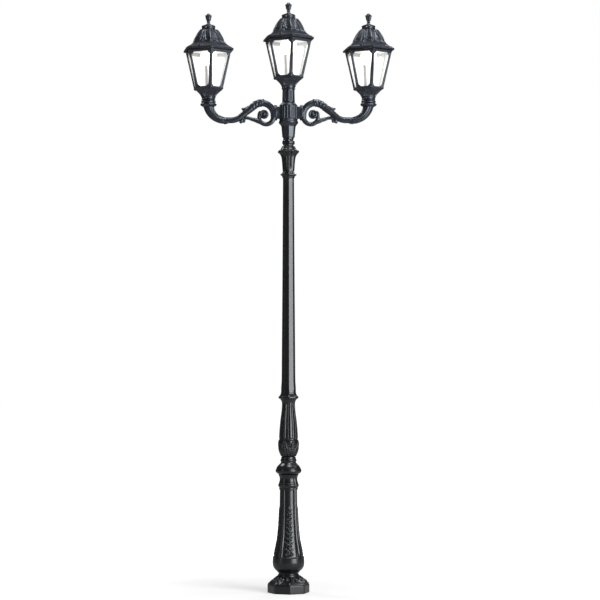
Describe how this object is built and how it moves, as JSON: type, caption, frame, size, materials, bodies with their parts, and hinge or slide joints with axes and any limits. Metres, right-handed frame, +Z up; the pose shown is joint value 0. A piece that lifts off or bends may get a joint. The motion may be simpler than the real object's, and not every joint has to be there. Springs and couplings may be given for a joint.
{
  "type": "triple head lamp post",
  "caption": "Tall ornamental lamp post with a turned and fluted column, two scrolled arms and six-sided lanterns whose roofs open on hinges.",
  "frame": {"origin": "on the ground, at the post's axis", "axes": "+Z up the post; +X along the arms towards the viewer's right; -Y towards the viewer"},
  "size_m": [1.5426, 0.3946, 4.3053],
  "materials": {
    "steel": "galvanised, dull",
    "casting": "satin, lightly textured",
    "head_casting": "satin, lightly textured",
    "screws": "bright",
    "glazing": "clear",
    "seal": "matt",
    "reflector_white": "gloss white",
    "holder": "glossy",
    "opal": "opal"
  },
  "bodies": {
    "post": {"ground_plate": "steel", "pole": "steel", "plate_gussets": "steel", "foot_cover": "casting", "base_column": "casting", "cushion_ring": "casting", "baluster": "casting", "shaft_ring": "casting", "shaft": "casting", "shaft_collar": "casting", "capital": "casting", "throat_ring": "casting", "hub": "head_casting", "neck": "head_casting", "arm_left": "head_casting", "arm_right": "head_casting", "arm_bolts": "screws", "hub_screws": "screws", "left_socket_cup": "head_casting", "left_socket_screws": "screws", "left_cage_frame": "head_casting", "left_panes": "glazing", "left_gasket": "seal", "left_hinge_pin": "screws", "middle_socket_cup": "head_casting", "middle_socket_screws": "screws", "middle_cage_frame": "head_casting", "middle_panes": "glazing", "middle_gasket": "seal", "middle_hinge_pin": "screws", "right_socket_cup": "head_casting", "right_socket_screws": "screws", "right_cage_frame": "head_casting", "right_panes": "glazing", "right_gasket": "seal", "right_hinge_pin": "screws"},
    "left_roof_set": {"left_roof": "head_casting", "left_reflector": "reflector_white", "left_lampholder": "holder", "left_lamp": "opal", "left_crown_cap": "head_casting", "left_cap_screws": "screws", "left_finial": "head_casting"},
    "left_latch": {"left_latch_screw": "head_casting"},
    "middle_roof_set": {"middle_roof": "head_casting", "middle_reflector": "reflector_white", "middle_lampholder": "holder", "middle_lamp": "opal", "middle_crown_cap": "head_casting", "middle_cap_screws": "screws", "middle_finial": "head_casting"},
    "middle_latch": {"middle_latch_screw": "head_casting"},
    "right_roof_set": {"right_roof": "head_casting", "right_reflector": "reflector_white", "right_lampholder": "holder", "right_lamp": "opal", "right_crown_cap": "head_casting", "right_cap_screws": "screws", "right_finial": "head_casting"},
    "right_latch": {"right_latch_screw": "head_casting"}
  },
  "joints": [
    {"name": "left_roof_hinge", "type": "hinge", "parent": "post", "child": "left_roof_set", "pos_m": [-0.52107, 0.16833, 3.9519], "axis": [-0.9367, 0.3502, 0], "range_deg": [0, 100]},
    {"name": "left_latch_turn", "type": "hinge", "parent": "left_roof_set", "child": "left_latch", "pos_m": [-0.63695, -0.14163, 3.9519], "axis": [0, 0, 1], "continuous": true},
    {"name": "middle_roof_hinge", "type": "hinge", "parent": "post", "child": "middle_roof_set", "pos_m": [0.06293, 0.16833, 4.0319], "axis": [-0.9367, 0.3502, 0], "range_deg": [0, 100]},
    {"name": "middle_latch_turn", "type": "hinge", "parent": "middle_roof_set", "child": "middle_latch", "pos_m": [-0.05295, -0.14163, 4.0319], "axis": [0, 0, 1], "continuous": true},
    {"name": "right_roof_hinge", "type": "hinge", "parent": "post", "child": "right_roof_set", "pos_m": [0.64693, 0.16833, 3.9519], "axis": [-0.9367, 0.3502, 0], "range_deg": [0, 100]},
    {"name": "right_latch_turn", "type": "hinge", "parent": "right_roof_set", "child": "right_latch", "pos_m": [0.53105, -0.14163, 3.9519], "axis": [0, 0, 1], "continuous": true}
  ]
}
